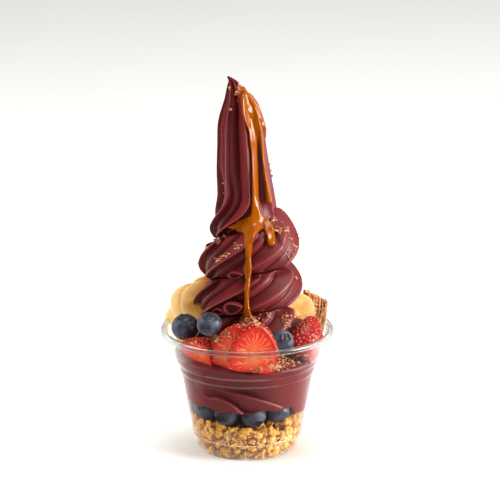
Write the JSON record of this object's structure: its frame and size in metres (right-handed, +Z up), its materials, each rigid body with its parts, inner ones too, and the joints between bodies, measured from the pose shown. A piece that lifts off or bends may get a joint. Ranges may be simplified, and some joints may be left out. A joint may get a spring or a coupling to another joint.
{
  "type": "acai cup",
  "caption": "Clear plastic cup with granola, a ring of blueberries and purple acai soft serve piped into a tall ridged spiral, with fruit, chocolate and caramel.",
  "frame": {"origin": "centre of the cup's flat underside, on the surface that it stands on", "axes": "+Z up along the cup's axis, -Y towards the front that the picture shows, +X to the right seen from the front"},
  "size_m": [0.098, 0.098, 0.2157],
  "materials": {
    "clear_plastic": "clear, thin and glossy",
    "acai": "smooth frozen pulp, satin, dark maroon",
    "granola": "toasted oat clusters, dry and rough",
    "blueberry": "dark blue skin with a dull pale bloom",
    "strawberry": "glossy red skin with seeds, moist pale red cut flesh",
    "banana": "moist cream flesh with a darker middle",
    "chocolate": "dry, ribbed and crumbly milk chocolate",
    "caramel": "glossy amber sauce",
    "nuts": "chopped toasted nuts, dry"
  },
  "bodies": {
    "root": {"cup": "clear_plastic", "granola": "granola", "layer_blueberry_1": "blueberry", "layer_blueberry_2": "blueberry", "layer_blueberry_3": "blueberry", "layer_blueberry_4": "blueberry", "layer_blueberry_5": "blueberry", "layer_blueberry_6": "blueberry", "layer_blueberry_7": "blueberry", "layer_blueberry_8": "blueberry", "layer_blueberry_9": "blueberry", "layer_blueberry_10": "blueberry", "strawberry_slice_1": "strawberry", "strawberry_slice_2": "strawberry", "strawberry_half_1": "strawberry", "strawberry_half_2": "strawberry", "strawberry_slice_3": "strawberry", "strawberry_half_3": "strawberry", "blueberry_1": "blueberry", "blueberry_2": "blueberry", "blueberry_3": "blueberry", "blueberry_4": "blueberry", "blueberry_5": "blueberry", "blueberry_6": "blueberry", "banana_slice_1": "banana", "banana_slice_2": "banana", "banana_slice_3": "banana", "banana_slice_4": "banana", "banana_slice_5": "banana", "banana_slice_6": "banana", "banana_slice_7": "banana", "chocolate_bark": "chocolate", "acai": "acai"}
  },
  "joints": []
}
